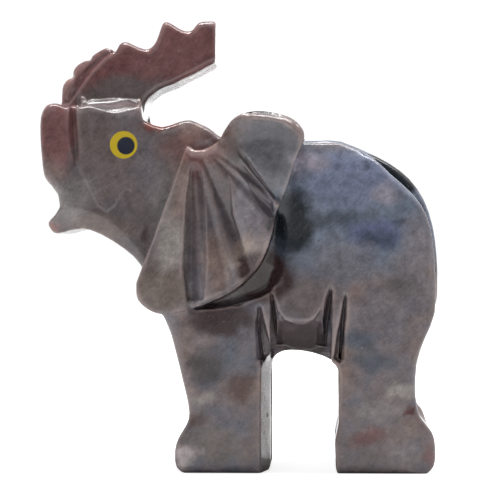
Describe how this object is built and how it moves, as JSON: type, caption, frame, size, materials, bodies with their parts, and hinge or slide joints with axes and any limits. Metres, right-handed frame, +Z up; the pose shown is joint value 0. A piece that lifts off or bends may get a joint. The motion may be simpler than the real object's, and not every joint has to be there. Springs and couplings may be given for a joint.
{
  "type": "carved stone elephant",
  "caption": "Small carved soapstone elephant with raised trunk and fluted ears, a desk or shelf ornament that stands on its own feet.",
  "frame": {"origin": "middle of the footprint at the level of the soles, under the centre of the whole carving's box", "axes": "+Z up along the height, +X from the head towards the rump, +Y across the thickness towards the elephant's right side"},
  "size_m": [0.0442, 0.0236, 0.05],
  "materials": {
    "soapstone": "polished"
  },
  "bodies": {
    "root": {"elephant": "soapstone"}
  },
  "joints": []
}
